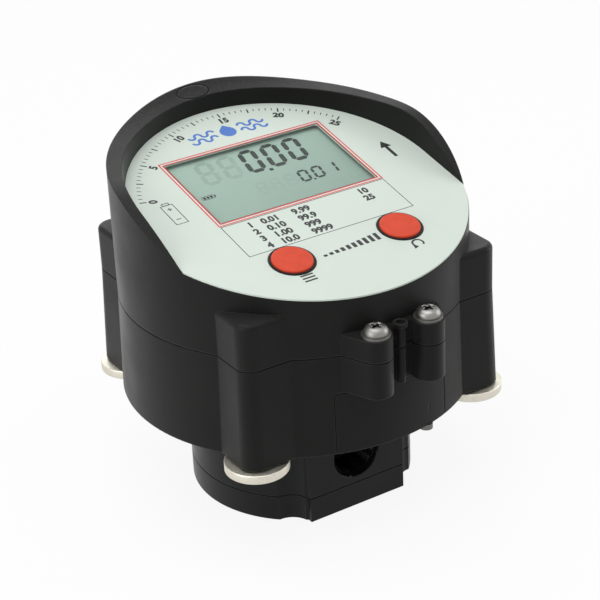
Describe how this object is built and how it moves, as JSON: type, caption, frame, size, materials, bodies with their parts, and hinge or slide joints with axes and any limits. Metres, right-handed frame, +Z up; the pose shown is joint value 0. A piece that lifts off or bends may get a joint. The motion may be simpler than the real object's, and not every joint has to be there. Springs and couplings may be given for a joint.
{
  "type": "turbine flow meter",
  "caption": "In-line turbine flow meter: round black flow body with threaded ports under a hooded drum head with sloping display, two red keys and a battery drawer.",
  "frame": {"origin": "centre of the flat base of the flow body, on the turbine's axis", "axes": "+Z up along the turbine's axis; -Y towards the reader, out of the front port; +X to the reader's right"},
  "size_m": [0.1424, 0.1522, 0.1479],
  "materials": {
    "black_anodised": "satin black anodised aluminium",
    "housing_black": "fine-grained black moulding",
    "seal_rubber": "matt black rubber",
    "zinc_steel": "zinc-plated steel",
    "washer_nickel": "warm nickel plate",
    "white_acetal": "smooth white acetal",
    "magnet_nickel": "nickel plate",
    "bush_brass": "turned",
    "chip_black": "moulded",
    "board_green": "solder mask",
    "label_pale": "satin printed film",
    "window_clear": "clear",
    "lcd_grey_green": "reflective liquid crystal display",
    "key_red": "soft satin",
    "bezel_black": "satin",
    "cell_jacket": "printed metal jacket"
  },
  "bodies": {
    "meter": {"meter_body": "black_anodised", "bottom_cover": "black_anodised", "chamber_o_ring": "seal_rubber", "cover_screws": "zinc_steel", "lower_bush": "bush_brass", "upper_bush": "bush_brass", "hall_sensor": "chip_black", "sensor_board": "board_green", "upper_housing": "housing_black", "lower_housing": "housing_black", "housing_gasket": "seal_rubber", "face_label": "label_pale", "display_window": "window_clear", "lcd_panel": "lcd_grey_green", "button_bezels": "bezel_black", "tact_switches": "chip_black", "circuit_board": "board_green", "board_screws": "zinc_steel", "front_screws": "zinc_steel", "front_washers": "zinc_steel", "corner_washers": "washer_nickel", "corner_screws": "zinc_steel", "head_screws": "zinc_steel", "bay_contacts": "magnet_nickel"},
    "turbine": {"turbine_rotor": "white_acetal", "rotor_magnets": "magnet_nickel", "rotor_shaft": "zinc_steel"},
    "function_key": {"function_button": "key_red", "function_plunger": "chip_black"},
    "reset_key": {"reset_button": "key_red", "reset_plunger": "chip_black"},
    "drawer": {"battery_drawer": "housing_black", "battery_cells": "cell_jacket", "cell_contacts": "magnet_nickel", "drawer_screw": "zinc_steel"}
  },
  "joints": [
    {"name": "turbine_spin", "type": "hinge", "parent": "meter", "child": "turbine", "pos_m": [0, 0, 0.0242], "axis": [0, 0, 1], "continuous": true},
    {"name": "function_press", "type": "slide", "parent": "meter", "child": "function_key", "axis": [0, 0.2113, -0.9774], "range_m": [0, 0.0008], "stiffness_N_per_m": 1500, "springref_m": -0.0004},
    {"name": "reset_press", "type": "slide", "parent": "meter", "child": "reset_key", "axis": [0, 0.2113, -0.9774], "range_m": [0, 0.0008], "stiffness_N_per_m": 1500, "springref_m": -0.0004},
    {"name": "drawer_pull", "type": "slide", "parent": "meter", "child": "drawer", "axis": [0, -1, 0], "range_m": [0, 0.058]}
  ]
}
